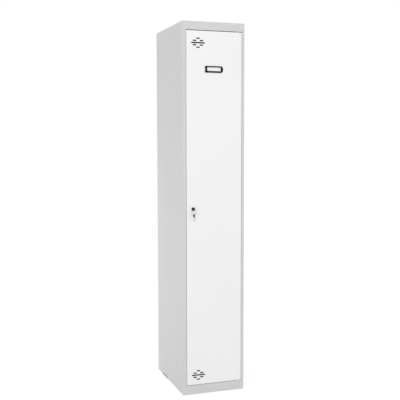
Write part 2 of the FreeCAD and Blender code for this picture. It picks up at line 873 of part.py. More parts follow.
def lock_nut():
    """Six-sided nut that clamps the lock to the back of the door sheet."""
    turn = FreeCAD.Rotation(FreeCAD.Vector(1, 0, 0), 90)
    blank = doc.addObject("Part::Prism", "nut_blank")
    blank.Polygon = 6
    bind(blank, Circumradius="nut_corners / 2", Height="nut_height")
    bore = doc.addObject("Part::Cylinder", "nut_bore")
    bind(bore, Radius="lock_barrel / 2 + fit", Height="nut_height")
    for tool in (blank, bore):
        place(tool, "lock_x", "door_inside + nut_height", "lock_height", turn)
    nut = doc.addObject("Part::Cut", "lock_nut")
    nut.Base = blank
    nut.Tool = bore
    nut.Label = "lock_nut"
    pieces.append(nut)
    doc.recompute()


def lock_plug():
    """Turning plug with a key slot in front and a square drive and tapped hole behind."""
    body = new_body("lock_plug")
    at = ("lock_x", "lock_height")
    face = "bezel_front + plug_recess"
    square = box_loop(
        "lock_x - drive_square / 2",
        "lock_x + drive_square / 2",
        "lock_height - drive_square / 2",
        "lock_height + drive_square / 2",
    )
    slot = box_loop(
        "lock_x - blade_thick / 2 - clearance",
        "lock_x + blade_thick / 2 + clearance",
        "lock_height - blade_height / 2 - clearance",
        "lock_height + blade_height / 2 + clearance",
    )
    pad(body, "XZ_Plane", [(*at, "plug / 2")], face, "cam_front")
    pad(body, "XZ_Plane", [square], "cam_front", "cam_back")
    cut(body, "XZ_Plane", [slot], face, "bezel_front - key_gap + blade_slot_depth")
    screw_hole = (*at, "screw / 2 + fit")
    cut(body, "XZ_Plane", [screw_hole], "washer_back - screw_length - clearance", "cam_back")


def lock_cam():
    """Flat cam on the plug's square, standing up when the lock is open."""
    body = new_body("lock_cam")
    blank = box_loop(
        "lock_x - cam_width / 2",
        "lock_x + cam_width / 2",
        "lock_height - cam_heel",
        "lock_height + cam_length",
        "cam_round",
    )
    square = box_loop(
        "lock_x - drive_square / 2 - fit",
        "lock_x + drive_square / 2 + fit",
        "lock_height - drive_square / 2 - fit",
        "lock_height + drive_square / 2 + fit",
    )
    pad(body, "XZ_Plane", [blank], "cam_front", "cam_back")
    cut(body, "XZ_Plane", [square], "cam_front", "cam_back")


def cam_washer():
    body = new_body("cam_washer")
    at = ("lock_x", "lock_height")
    ring = [(*at, "washer / 2"), (*at, "screw / 2 + fit")]
    pad(body, "XZ_Plane", ring, "cam_back", "washer_back")


def cam_screw():
    body = new_body("cam_screw")
    at = ("lock_x", "lock_height")
    head_back = "washer_back + screw_head_height"
    pad(body, "XZ_Plane", [(*at, "screw / 2")], "washer_back - screw_length", "washer_back")
    pad(body, "XZ_Plane", [(*at, "screw_head / 2")], "washer_back", head_back)
    round_edges(body, edge_lies_at("Y", head_back), "screw_head_height / 2")


# Keys. Each is drawn about the hole in its head, with its blade along +Y.


def key(prefix, z, turn):
    """A flat steel blade in a moulded head, put at its hole's place."""
    half_tang = "tang_height / 2"
    half_blade = "blade_height / 2"
    blade_end = "head_end + blade_length"
    blade = new_body(f"{prefix}_blade")
    tang = box_loop("head_end - tang_length", "head_end", f"-{half_tang}", half_tang)
    shank = box_loop("head_end", blade_end, f"-{half_blade}", half_blade, "bit_width / 2")
    notches = [
        box_loop(
            f"{blade_end} - {i + 1} * bit_pitch",
            f"{blade_end} - {i + 1} * bit_pitch + bit_width",
            f"-{half_blade}",
            f"bit_depth - {half_blade}",
        )
        for i in range(BIT_COUNT)
    ]
    thickness = ("-blade_thick / 2", "blade_thick / 2")
    pad(blade, "YZ_Plane", [tang], *thickness)
    pad(blade, "YZ_Plane", [shank], *thickness)
    cut(blade, "YZ_Plane", notches, *thickness)

    head = new_body(f"{prefix}_head")
    bow = box_loop("-hole_edge", "head_end", "-head_height / 2", "head_height / 2", "head_round")
    tang_slot = box_loop(
        "head_end - tang_length - fit", "head_end", f"-{half_tang} - fit", f"{half_tang} + fit"
    )
    pad(head, "YZ_Plane", [bow], "-head_thick / 2", "head_thick / 2")
    cut(head, "YZ_Plane", [("0", "0", "key_hole / 2")], "-head_thick / 2", "head_thick / 2")
    cut(head, "YZ_Plane", [tang_slot], "-blade_thick / 2 - fit", "blade_thick / 2 + fit")
    for body in (blade, head):
        place(body, "lock_x", "hole_y", z, turn)


def key_ring():
    """Wire ring hanging in the key's hole, level with the door."""
    ring = doc.addObject("Part::Torus", "key_ring")
    bind(ring, Radius1="ring_diameter / 2", Radius2="ring_wire / 2")
    place(ring, "lock_x", "hole_y", "ring_top - ring_diameter / 2", FreeCAD.Rotation(0, 0, 90))
    ring.Label = "key_ring"
    pieces.append(ring)


def build():
    for side, sign in SIDES:
        side_panel(f"{side}_side_panel", sign)
        floor_angle(f"{side}_floor_angle", sign)
        for end, middle, outer in FEET:
            foot(f"{end}_{side}_foot", sign, middle, outer)
        shelf_support(f"{side}_shelf_support", sign)
        rail_bracket(f"{side}_rail_bracket", sign)
        rail_cap(f"{side}_rail_cap", sign)
    roof_panel()
    base_panel()
    back_panel()
    back_rivets()
    shelf()
    hanging_rail()
    buffer("upper_buffer", "door_top - buffer_setback")
    buffer("lower_buffer", "door_low + buffer_setback")
    pivot_bush("top_pivot_bush", "rail_low", "1")
    pivot_bush("bottom_pivot_bush", "bottom_rail", "-1")
    door_panel()
    door_stiffener()
    top_edge, low_edge = "door_top - door_sheet", "door_low + door_sheet"
    pivot_bracket("top_pivot_bracket", top_edge, "-1")
    pivot_bracket("bottom_pivot_bracket", low_edge, "1")
    pivot_pin("top_pivot_pin", f"{top_edge} - pivot_plate", "rail_low + pin_reach", "-1")
    pivot_pin("bottom_pivot_pin", f"{low_edge} + pivot_plate", "bottom_rail - pin_reach", "1")
    label_frame()
    label_card()
    lock_housing()
    lock_nut()
    lock_plug()
    lock_cam()
    cam_washer()
    cam_screw()
    key("key", "lock_height", FreeCAD.Rotation())
    key_ring()
    key("spare_key", "spare_hole_z", FreeCAD.Rotation(0, 0, -90))
    doc.recompute()


def check():
    """Stop if anything failed, or if a pocket took nothing away."""
    for item in doc.Objects:
        if "Invalid" in item.State or "Error" in item.State:
            raise RuntimeError(f"{item.Label} failed: {item.State}")
        if item.TypeId == "PartDesign::Pocket":
            if item.Shape.Volume >= item.BaseFeature.Shape.Volume:
                raise RuntimeError(f"{item.Label} in {item.getParent().Label} cuts nothing")
    for piece in pieces:
        if piece.Shape.isNull() or not piece.Shape.isValid():
            raise RuntimeError(f"{piece.Label} has no valid shape")


build()
check()
os.makedirs("parts", exist_ok=True)
for piece in pieces:
    piece.Shape.exportStep(f"parts/{piece.Label}.step")
print(len(pieces), "pieces written")
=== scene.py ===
import math

import bmesh
import bpy
import numpy as np
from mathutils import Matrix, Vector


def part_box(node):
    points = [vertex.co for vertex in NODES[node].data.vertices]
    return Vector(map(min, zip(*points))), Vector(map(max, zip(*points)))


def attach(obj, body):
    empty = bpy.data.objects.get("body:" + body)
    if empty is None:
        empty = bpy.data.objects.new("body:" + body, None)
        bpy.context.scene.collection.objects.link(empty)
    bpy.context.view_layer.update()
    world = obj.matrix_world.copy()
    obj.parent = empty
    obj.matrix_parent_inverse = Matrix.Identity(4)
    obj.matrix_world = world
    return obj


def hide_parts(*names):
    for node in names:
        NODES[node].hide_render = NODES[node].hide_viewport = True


bl_info = {
    "name": "Steel locker looks",
    "version": (1, 0, 0),
    "blender": (4, 5, 0),
    "location": "View3D > Sidebar > Locker",
    "description": "Finishes and fine fittings for a one-door steel locker",
    "category": "Object",
}

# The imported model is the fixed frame. Shapes below are worked out in millimetres in that frame.
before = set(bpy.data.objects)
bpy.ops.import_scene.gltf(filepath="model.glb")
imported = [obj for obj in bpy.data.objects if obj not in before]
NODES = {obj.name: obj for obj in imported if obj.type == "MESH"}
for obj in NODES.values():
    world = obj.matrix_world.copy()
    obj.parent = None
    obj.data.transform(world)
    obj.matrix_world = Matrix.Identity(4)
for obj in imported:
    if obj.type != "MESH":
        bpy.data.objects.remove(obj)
MM = 0.001

CARCASS_SHEETS = (
    "left_side_panel", "right_side_panel", "roof_panel", "base_panel", "back_panel", "shelf",
    "left_floor_angle", "right_floor_angle", "left_shelf_support", "right_shelf_support",
    "left_rail_bracket", "right_rail_bracket",
)
DOOR_SHEETS = ("door_panel", "door_stiffener", "top_pivot_bracket", "bottom_pivot_bracket")
FEET = ("front_left_foot", "front_right_foot", "rear_left_foot", "rear_right_foot")

# Straw tone of the clouds in bright zinc plate
ZINC_CLOUD = "#C7C3B2"


def box_mm(node):
    """Lowest and highest corners of a CAD node, in millimetres."""
    low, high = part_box(node)
    return np.array(low) / MM, np.array(high) / MM


def linear(code):
    """Linear colour of an sRGB hex value.

    It is c / 12.92 in the toe and ((c + 0.055) / 1.055) ** 2.4 above it.
    """
    parts = [int(code[i:i + 2], 16) / 255 for i in (1, 3, 5)]
    return tuple(c / 12.92 if c <= 0.04045 else ((c + 0.055) / 1.055) ** 2.4 for c in parts)


# Properties


def colour(name, description, code):
    """Colour property with an sRGB hex default."""
    return bpy.props.FloatVectorProperty(
        name=name, description=description, subtype="COLOR", size=3, min=0, max=1, default=linear(code)
    )


def length(name, description, millimetres):
    """Length property with a default in millimetres."""
    return bpy.props.FloatProperty(
        name=name, description=description, subtype="DISTANCE", unit="LENGTH", min=0,
        default=millimetres * MM,
    )


class LockerColours(bpy.types.PropertyGroup):
    carcass: colour("Carcass", "Powder coat on the folded carcass", "#CFCFCF")
    door: colour("Door", "Powder coat on the door pan", "#EFEFEF")
    plastic: colour("Plastic", "Label holder, feet, rail caps and key heads", "#0C0C0D")
    rubber: colour("Rubber", "Door buffers", "#1B1B1C")
    nylon: colour("Nylon", "Pivot bushes", "#E3DFD2")
    zinc: colour("Zinc plate", "Cam, nut, washer, screw and pivot pins", "#BEC0BF")
    chrome: colour("Chrome plate", "Hanging rail", "#C9CACC")
    lock: colour("Lock casting", "Lock housing and plug", "#78746E")
    key: colour("Nickel plate", "Key blades and split ring", "#CDCBC5")
    rivet: colour("Aluminium", "Blind rivets in the back", "#CFD0D2")
    card: colour("Card", "Bare card in the label holder", "#F0F0EF")


class LockerSizes(bpy.types.PropertyGroup):
    orange_peel: length("Orange peel", "Width of the ripples in the powder coat", 2.4)
    sheet_wave: length("Sheet wave", "Width of the slow waves in the rolled sheet", 260.0)
    moulded_grain: length("Moulded grain", "Width of the grain on the plastic", 0.9)
    thread_pitch: length("Thread pitch", "Pitch of the lock barrel's thread", 1.0)
    thread_depth: length("Thread depth", "Depth of the lock barrel's thread", 0.5)
    head_edge: length("Key head edge", "Rounding of the key heads' edges", 0.45)
    head_recess: length("Key head recess", "Depth of the sunk panel in the key heads", 0.35)
    ring_leaf: length("Ring leaf", "Thickness of one turn of the split ring", 0.66)
    foot_corner: length("Foot corner", "Radius of the feet's upright corners", 4.0)
    foot_edge: length("Foot edge", "Rounding of the feet's tread edges", 0.7)


class LockerStudio(bpy.types.PropertyGroup):
    lens: bpy.props.FloatProperty(
        name="Lens", description="Focal length on a 36 mm frame", subtype="DISTANCE_CAMERA", default=65.852
    )
    swing: bpy.props.FloatProperty(
        name="Swing", description="Turn of the camera from the locker's front", subtype="ANGLE",
        default=math.radians(-18.957),
    )
    stand: bpy.props.FloatVectorProperty(
        name="Stand", description="Place of the camera", subtype="TRANSLATION", unit="LENGTH", size=3,
        default=(-1.2101, -3.5336, 1.2345),
    )
    lean: bpy.props.FloatProperty(
        name="Lean", description="Turn of the camera about its own line of sight", subtype="ANGLE",
        default=math.radians(0.083),
    )
    tilt: bpy.props.FloatProperty(
        name="Tilt", description="Turn of the camera up from level", subtype="ANGLE",
        default=math.radians(-4.569),
    )
    ambient: bpy.props.FloatProperty(
        name="Ambient", description="Strength of the even light all round", min=0, default=0.86
    )
    front_power: bpy.props.FloatProperty(
        name="Front lamp", description="Power of the large soft lamp in front", subtype="POWER", min=0,
        default=93.0,
    )
    side_power: bpy.props.FloatProperty(
        name="Side lamp", description="Power of the small soft lamp at the left side", subtype="POWER",
        min=0, default=2.2,
    )


# Lamps: width and place in metres, turns about X and Z in degrees
FRONT_LAMP = {"width": 2.4, "place": (-2.117, -5.817, 1.5), "turn": (84.0, -20.0)}
SIDE_LAMP = {"width": 0.6, "place": (-1.2, 0.6, 0.6), "turn": (90.0, -90.0)}

# Studio floor: half its width and its drop under the feet in metres, then how bright it is to the eye in
# shadow and by itself, and in bounced light
FLOOR_REACH, FLOOR_DROP = 8.0, 0.0004
FLOOR_SHADOWED, FLOOR_GLOW, FLOOR_BOUNCE = 0.4, 0.68, 0.7

SENSOR_WIDTH = 36.0
SHARP_ANGLE = math.radians(38)


# Mesh making


def soften(corners, radii, steps=5):
    """Closed outline with each corner eased.

    A corner C becomes the parabola (1-t)^2 A + 2t(1-t) C + t^2 B, where A and B lie one radius from C along
    its two edges.
    """
    corners = np.asarray(corners, float)
    before = np.roll(corners, 1, axis=0) - corners
    after = np.roll(corners, -1, axis=0) - corners
    reach = np.broadcast_to(np.asarray(radii, float), len(corners))[:, None]
    start = corners + reach * before / np.linalg.norm(before, axis=1, keepdims=True)
    end = corners + reach * after / np.linalg.norm(after, axis=1, keepdims=True)
    t = np.linspace(0, 1, steps)[None, :, None]
    eased = (1 - t) ** 2 * start[:, None] + 2 * t * (1 - t) * corners[:, None] + t ** 2 * end[:, None]
    return eased.reshape(-1, 2)


def rectangle(low, high):
    """Corners of a rectangle, in turn."""
    return np.array([[low[0], low[1]], [high[0], low[1]], [high[0], high[1]], [low[0], high[1]]])


def circle(count):
    """Bearings, cosines and sines of count points round a unit circle."""
    turn = np.linspace(0, 2 * np.pi, count, endpoint=False)
    return turn, np.cos(turn), np.sin(turn)


def turned(profile, axis_x, axis_z, count):
    """Rings of a piece turned about a line along Y.

    A profile point (y, r) becomes a circle of radius r at y.
    """
    profile = np.asarray(profile, float)
    _, across, up = circle(count)
    along = np.broadcast_to(profile[:, :1], (len(profile), count))
    radius = profile[:, 1:2]
    return np.stack([axis_x + radius * across, along, axis_z + radius * up], axis=-1)


def skin(name, rings, closed=False):
    """Mesh object over stacked rings, [copy, row, point, xyz] or [row, point, xyz] in millimetres.

    Each point is joined to the next one on its ring and to its like on the next row. The last row joins
    the first where closed, and otherwise a flat face ends the first and the last row.
    """
    rings = rings[None] if rings.ndim == 3 else rings
    copies, rows, count, _ = rings.shape
    row = np.arange(rows if closed else rows - 1)[:, None]
    point = np.arange(count)[None, :]
    on, up = (point + 1) % count, (row + 1) % rows
    quads = np.stack([
        row * count + point, row * count + on, up * count + on, up * count + point,
    ], axis=-1)
    first = (np.arange(copies) * rows * count)[:, None, None]
    faces = (quads.reshape(1, -1, 4) + first).reshape(-1, 4).tolist()
    if not closed:
        ends = np.stack([point[0], (rows - 1) * count + point[0]])
        faces += (ends[None] + first).reshape(-1, count).tolist()
    mesh = bpy.data.meshes.new(name)
    mesh.from_pydata((rings.reshape(-1, 3) * MM).tolist(), [], faces)
    outward = bmesh.new()
    outward.from_mesh(mesh)
    bmesh.ops.recalc_face_normals(outward, faces=outward.faces[:])
    outward.to_mesh(mesh)
    outward.free()
    mesh.shade_smooth()
    mesh.set_sharp_from_angle(angle=SHARP_ANGLE)
    piece = bpy.data.objects.new(name, mesh)
    bpy.context.scene.collection.objects.link(piece)
    return piece


def fit(piece, body, slot, material, *nodes):
    """Put a new piece on its body, with its finish, in place of the CAD nodes that it stands for."""
    piece.data.materials.append(material)
    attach(piece, body)
    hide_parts(*nodes)


def dress(material, *nodes):
    """Give CAD nodes a finish."""
    for node in nodes:
        for slot in NODES[node].material_slots:
            slot.material = material


# Finishes


def add(tree, kind, inputs=None, **settings):
    """Add a node with its settings; inputs takes sockets to link and plain values to set."""
    node = tree.nodes.new(kind)
    for name, value in settings.items():
        setattr(node, name, value)
    for key, value in (inputs or {}).items():
        if isinstance(value, bpy.types.NodeSocket):
            tree.links.new(value, node.inputs[key])
        else:
            node.inputs[key].default_value = value
    return node


def blank_finish(name):
    """An empty material and its node tree."""
    material = bpy.data.materials.new(name)
    material.use_nodes = True
    material.node_tree.nodes.clear()
    return material, material.node_tree


def grey(level):
    """A linear grey, as RGBA."""
    return (level, level, level, 1.0)


def shade(tone, factor):
    """A colour times a factor, as RGBA."""
    return (*(min(1.0, c * factor) for c in tone), 1.0)


def powder_coat(name, tone, sizes):
    # Polyester powder coat on rolled sheet steel: satin, with a fine orange peel that breaks up highlights,
    # slow waves from the rolled sheet, and a barely uneven film.
    material, tree = blank_finish(name)
    place = add(tree, "ShaderNodeTexCoord").outputs["Object"]
    peel = add(tree, "ShaderNodeTexNoise", {
        "Vector": place, "Scale": 1 / sizes.orange_peel, "Detail": 1.5,
    }).outputs["Fac"]
    wave = add(tree, "ShaderNodeTexNoise", {
        "Vector": place, "Scale": 1 / sizes.sheet_wave, "Detail": 0.5,
    }).outputs["Fac"]
    film = add(tree, "ShaderNodeMapRange", {"Value": wave, "From Min": 0.3, "From Max": 0.7})
    tint = add(tree, "ShaderNodeMix", {
        0: film.outputs["Result"], 6: shade(tone, 0.985), 7: shade(tone, 1.005),
    }, data_type="RGBA")
    gloss = add(tree, "ShaderNodeMapRange", {"Value": peel, "To Min": 0.36, "To Max": 0.46})
    slow = add(tree, "ShaderNodeBump", {"Height": wave, "Distance": 0.6 * MM, "Strength": 0.5})
    fine = add(tree, "ShaderNodeBump", {
        "Height": peel, "Distance": 0.04 * MM, "Strength": 0.6, "Normal": slow.outputs["Normal"],
    })
    surface = add(tree, "ShaderNodeBsdfPrincipled", {
        "Base Color": tint.outputs[2], "Roughness": gloss.outputs["Result"], "IOR": 1.5,
        "Normal": fine.outputs["Normal"],
    })
    add(tree, "ShaderNodeOutputMaterial", {"Surface": surface.outputs["BSDF"]})
    return material


def moulded_plastic(name, tone, sizes, sheen=0.25):
    # Black ABS from a spark-eroded mould: an even fine grain, with a painted highlight: the colour is lighter
    # on the grain's raised peaks, as if they catch the light.
    # The real grain is about 0.3 mm; it is drawn about three times as coarse, so that it shows.
    material, tree = blank_finish(name)
    place = add(tree, "ShaderNodeTexCoord").outputs["Object"]
    grain = add(tree, "ShaderNodeTexNoise", {
        "Vector": place, "Scale": 1 / sizes.moulded_grain, "Detail": 2.0,
    }).outputs["Fac"]
    # Painted highlight: the colour runs from 0.8 to 1.4 times the tone, lightest on the grain's raised peaks.
    tint = add(tree, "ShaderNodeMix", {0: grain, 6: shade(tone, 0.8), 7: shade(tone, 1.4)}, data_type="RGBA")
    gloss = add(tree, "ShaderNodeMapRange", {"Value": grain, "To Min": 0.38, "To Max": 0.56})
    bump = add(tree, "ShaderNodeBump", {"Height": grain, "Distance": 0.03 * MM, "Strength": 0.6})
    surface = add(tree, "ShaderNodeBsdfPrincipled", {
        "Base Color": tint.outputs[2], "Roughness": gloss.outputs["Result"], "IOR": 1.53,
        "Specular IOR Level": sheen, "Normal": bump.outputs["Normal"],
    })
    add(tree, "ShaderNodeOutputMaterial", {"Surface": surface.outputs["BSDF"]})
    return material


def moulded_rubber(name, tone):
    # Black EPDM: dull, with a dusty bloom in patches of about 3 mm.
    bloom_width = 3.0 * MM
    material, tree = blank_finish(name)
    place = add(tree, "ShaderNodeTexCoord").outputs["Object"]
    bloom = add(tree, "ShaderNodeTexNoise", {
        "Vector": place, "Scale": 1 / bloom_width, "Detail": 4.0,
    }).outputs["Fac"]
    tint = add(tree, "ShaderNodeMix", {0: bloom, 6: shade(tone, 0.7), 7: shade(tone, 1.6)}, data_type="RGBA")
    gloss = add(tree, "ShaderNodeMapRange", {"Value": bloom, "To Min": 0.65, "To Max": 0.85})
    surface = add(tree, "ShaderNodeBsdfPrincipled", {
        "Base Color": tint.outputs[2], "Roughness": gloss.outputs["Result"], "IOR": 1.52,
    })
    add(tree, "ShaderNodeOutputMaterial", {"Surface": surface.outputs["BSDF"]})
    return material


def turned_nylon(name, tone):
    # Natural nylon turned from rod: waxy and cream, with cloudy patches 4 mm wide and faint lathe rings.
    # A wave repeats every pi / 10 of its scale length, so 3.1 mm puts the rings about 1 mm apart.
    # Real rings are finer; they are drawn as coarse as they need to be to show.
    ring_scale, cloud_width = 3.1 * MM, 4.0 * MM
    material, tree = blank_finish(name)
    place = add(tree, "ShaderNodeTexCoord").outputs["Object"]
    rings = add(tree, "ShaderNodeTexWave", {"Vector": place, "Scale": 1 / ring_scale, "Distortion": 0.4},
                wave_type="BANDS", bands_direction="Z").outputs["Fac"]
    cloud = add(tree, "ShaderNodeTexNoise", {
        "Vector": place, "Scale": 1 / cloud_width, "Detail": 2.0,
    }).outputs["Fac"]
    tint = add(tree, "ShaderNodeMix", {0: cloud, 6: shade(tone, 0.9), 7: shade(tone, 1.05)}, data_type="RGBA")
    bump = add(tree, "ShaderNodeBump", {"Height": rings, "Distance": 0.02 * MM, "Strength": 0.5})
    surface = add(tree, "ShaderNodeBsdfPrincipled", {
        "Base Color": tint.outputs[2], "Roughness": 0.42, "IOR": 1.53, "Normal": bump.outputs["Normal"],
    })
    add(tree, "ShaderNodeOutputMaterial", {"Surface": surface.outputs["BSDF"]})
    return material


def plated_metal(name, tone, other, rough, patch, stretch):
    # Plated or drawn metal: patches of slightly different tone and gloss, drawn out along the working
    # direction. The patch is its width in millimetres, and the stretch its length along X, Y and Z over
    # that width.
    material, tree = blank_finish(name)
    place = add(tree, "ShaderNodeTexCoord").outputs["Object"]
    lay = add(tree, "ShaderNodeMapping", {"Vector": place, "Scale": tuple(1 / s for s in stretch)})
    cloud = add(tree, "ShaderNodeTexNoise", {
        "Vector": lay.outputs["Vector"], "Scale": 1 / (patch * MM), "Detail": 5.0,
    }).outputs["Fac"]
    tint = add(tree, "ShaderNodeMix", {0: cloud, 6: shade(tone, 1.0), 7: shade(other, 1.0)}, data_type="RGBA")
    gloss = add(tree, "ShaderNodeMapRange", {"Value": cloud, "To Min": rough * 0.7, "To Max": rough * 1.4})
    bump = add(tree, "ShaderNodeBump", {"Height": cloud, "Distance": 0.01 * MM, "Strength": 0.4})
    surface = add(tree, "ShaderNodeBsdfPrincipled", {
        "Base Color": tint.outputs[2], "Metallic": 1.0, "Roughness": gloss.outputs["Result"],
        "Normal": bump.outputs["Normal"],
    })
    add(tree, "ShaderNodeOutputMaterial", {"Surface": surface.outputs["BSDF"]})
    return material


def uncoated_card(name, tone):
    # Uncoated white card: matt, with a fibre mottle about 0.8 mm wide and long in X, drawn coarse enough
    # to show.
    fibre_width, fibre_lay = 0.8 * MM, (0.4, 1.0, 1.0)
    material, tree = blank_finish(name)
    place = add(tree, "ShaderNodeTexCoord").outputs["Object"]
    lay = add(tree, "ShaderNodeMapping", {"Vector": place, "Scale": fibre_lay})
    fibre = add(tree, "ShaderNodeTexNoise", {
        "Vector": lay.outputs["Vector"], "Scale": 1 / fibre_width, "Detail": 4.0,
    }).outputs["Fac"]
    tint = add(tree, "ShaderNodeMix", {
        0: fibre, 6: shade(tone, 0.96), 7: shade(tone, 1.02),
    }, data_type="RGBA")
    bump = add(tree, "ShaderNodeBump", {"Height": fibre, "Distance": 0.02 * MM, "Strength": 0.5})
    surface = add(tree, "ShaderNodeBsdfPrincipled", {
        "Base Color": tint.outputs[2], "Roughness": 0.85, "IOR": 1.45, "Normal": bump.outputs["Normal"],
    })
    add(tree, "ShaderNodeOutputMaterial", {"Surface": surface.outputs["BSDF"]})
    return material


# Operators


class LOCKER_OT_carcass(bpy.types.Operator):
    """Coat the folded sheets of the carcass"""
    bl_idname = "locker.carcass"
    bl_label = "Coat carcass"

    def execute(self, context):
        scene = context.scene
        coat = powder_coat("light grey powder coat", scene.locker_colours.carcass, scene.locker_sizes)
        dress(coat, *CARCASS_SHEETS)
        return {"FINISHED"}


class LOCKER_OT_door(bpy.types.Operator):
    """Coat the folded sheets of the door"""
    bl_idname = "locker.door"
    bl_label = "Coat door"

    def execute(self, context):
        scene = context.scene
        coat = powder_coat("white powder coat", scene.locker_colours.door, scene.locker_sizes)
        dress(coat, *DOOR_SHEETS)
        return {"FINISHED"}


class LOCKER_OT_rail(bpy.types.Operator):
    """Finish the hanging rail and its end caps"""
    bl_idname = "locker.rail"
    bl_label = "Finish hanging rail"

    def execute(self, context):
        scene = context.scene
        tones = scene.locker_colours
        # Chrome plate on drawn tube: mirror bright, with faint streaks along the tube.
        plate = plated_metal(
            "bright chrome plate", tones.chrome, linear("#D8D9DA"),
            rough=0.09, patch=2.0, stretch=(30, 1, 1),
        )
        dress(plate, "hanging_rail")
        caps = moulded_plastic("black rail cap plastic", tones.plastic, scene.locker_sizes)
        dress(caps, "left_rail_cap", "right_rail_cap")
        return {"FINISHED"}


class LOCKER_OT_pivots(bpy.types.Operator):
    """Finish the door's hidden pivot pins and bushes"""
    bl_idname = "locker.pivots"
    bl_label = "Finish pivots"

    def execute(self, context):
        tones = context.scene.locker_colours
        # Bright zinc plate: silver with faint bluish and straw-coloured clouds.
        zinc = plated_metal(
            "bright zinc plate on pins", tones.zinc, linear(ZINC_CLOUD),
            rough=0.3, patch=4.0, stretch=(1, 1, 3),
        )
        dress(zinc, "top_pivot_pin", "bottom_pivot_pin")
        dress(turned_nylon("turned natural nylon", tones.nylon), "top_pivot_bush", "bottom_pivot_bush")
        return {"FINISHED"}


class LOCKER_OT_feet(bpy.types.Operator):
    """Make the four moulded feet"""
    bl_idname = "locker.feet"
    bl_label = "Make feet"

    def execute(self, context):
        scene = context.scene
        sizes = scene.locker_sizes
        plastic = moulded_plastic("black moulded foot plastic", scene.locker_colours.plastic, sizes)
        for node in FEET:
            piece = skin(f"moulded_{node}", self.rings(node, sizes))
            fit(piece, "carcass", "black_plastic", plastic, node)
        return {"FINISHED"}

    def rings(self, node, sizes):
        """Rings from the tread up to the top of the stem.

        The tread's rings are a rectangle with eased corners, drawn in by 1 - sqrt(1 - t^2) edge radii at its
        rims; the stem's rings are circles, point for point on the same bearings.
        """
        stem_root, stem, stem_tip, flare = 4.6, 4.0, 3.5, 0.6
        low, high = box_mm(node)
        corner, edge = sizes.foot_corner / MM, sizes.foot_edge / MM
        middle, half = (low[:2] + high[:2]) / 2, (high[:2] - low[:2]) / 2
        outline = soften(rectangle(-half, half), corner, steps=9)
        bearing = np.arctan2(outline[:, 1], outline[:, 0])
        circle_line = np.stack([np.cos(bearing), np.sin(bearing)], axis=-1)
        tread = box_mm("left_floor_angle")[0][2]
        t = np.linspace(1, 0, 5)
        draw_in = edge * (1 - np.sqrt(1 - t ** 2))
        inset = np.concatenate([draw_in, draw_in[::-1]])
        scale = 1 - inset[:, None] / half
        pad = middle + outline[None] * scale[:, None]
        radii = np.array([stem_root, stem, stem, stem_tip])
        post = np.array([self.stem_x(low), middle[1]]) + circle_line[None] * radii[:, None, None]
        flat = np.concatenate([pad, post])
        level = np.concatenate([
            edge * (1 - t), tread - edge * (1 - t[::-1]),
            [tread, tread + flare, high[2] - flare, high[2]],
        ])
        return np.concatenate([flat, np.broadcast_to(level[:, None, None], (*flat.shape[:2], 1))], axis=2)

    def stem_x(self, low):
        """The stem stands in the middle of the floor angle's level leg, past its upright leg's thickness."""
        half_sheet = 0.75
        side, inward = ("left", 1) if low[0] < 0 else ("right", -1)
        inner, outer = box_mm(f"{side}_floor_angle")
        return (inner[0] + outer[0]) / 2 + inward * half_sheet


class LOCKER_OT_rivets(bpy.types.Operator):
    """Make the blind rivets in the back"""
    bl_idname = "locker.rivets"
    bl_label = "Make rivets"

    def execute(self, context):
        low, high = box_mm("back_rivets")
        # Drawn aluminium: pale and softly bright, with fine drawing marks.
        tone = context.scene.locker_colours.rivet
        alloy = plated_metal(
            "drawn rivet aluminium", tone, linear("#BDBEC1"),
            rough=0.34, patch=1.0, stretch=(1, 1, 4),
        )
        piece = skin("blind_rivets", self.rings(low, high))
        fit(piece, "carcass", "rivet_aluminium", alloy, "back_rivets")
        return {"FINISHED"}

    def rings(self, low, high):
        """A turned profile set on a grid of two columns and eight rows.

        From the blind end: a bulged upset end, the shank, a domed head, and the broken mandrel sunk in it.
        """
        head, head_height, rim, crown = 3.2, 1.2, 0.25, 1.35
        shank, tail_end = 1.6, 0.9
        bulge_half, bulge_root, bulge_out = 0.8, 1.5, 1.06
        seat = high[1] - head_height
        t = np.linspace(0, np.pi / 2, 7)
        dome_at = seat + rim + (head_height - rim) * np.sin(t)
        dome = np.stack([dome_at, crown + (head - crown) * np.cos(t)], axis=-1)
        s = np.linspace(0, np.pi, 7)
        bulge_at = low[1] + bulge_half - bulge_half * np.cos(s)
        bulge = np.stack([bulge_at, bulge_root + bulge_out * np.sin(s)], axis=-1)
        tail = [[low[1], tail_end]]
        neck = [[low[1] + 2 * bulge_half, shank], [seat, shank], [seat, head]]
        # The mandrel's depth under the crown, and its radius
        mandrel = [high[1], 0.0] + np.array([[-0.5, 1.15], [-0.5, 1.0], [-0.3, 0.9], [-0.28, 0.5]])
        profile = np.concatenate([tail, bulge, neck, dome, mandrel])
        one = turned(profile, 0.0, 0.0, count=20)
        columns = np.array([low[0] + head, high[0] - head])
        rows = np.linspace(low[2] + head, high[2] - head, 8)
        places = np.stack(np.meshgrid(columns, [0.0], rows, indexing="ij"), axis=-1)
        return one[None] + places.reshape(-1, 1, 1, 3)


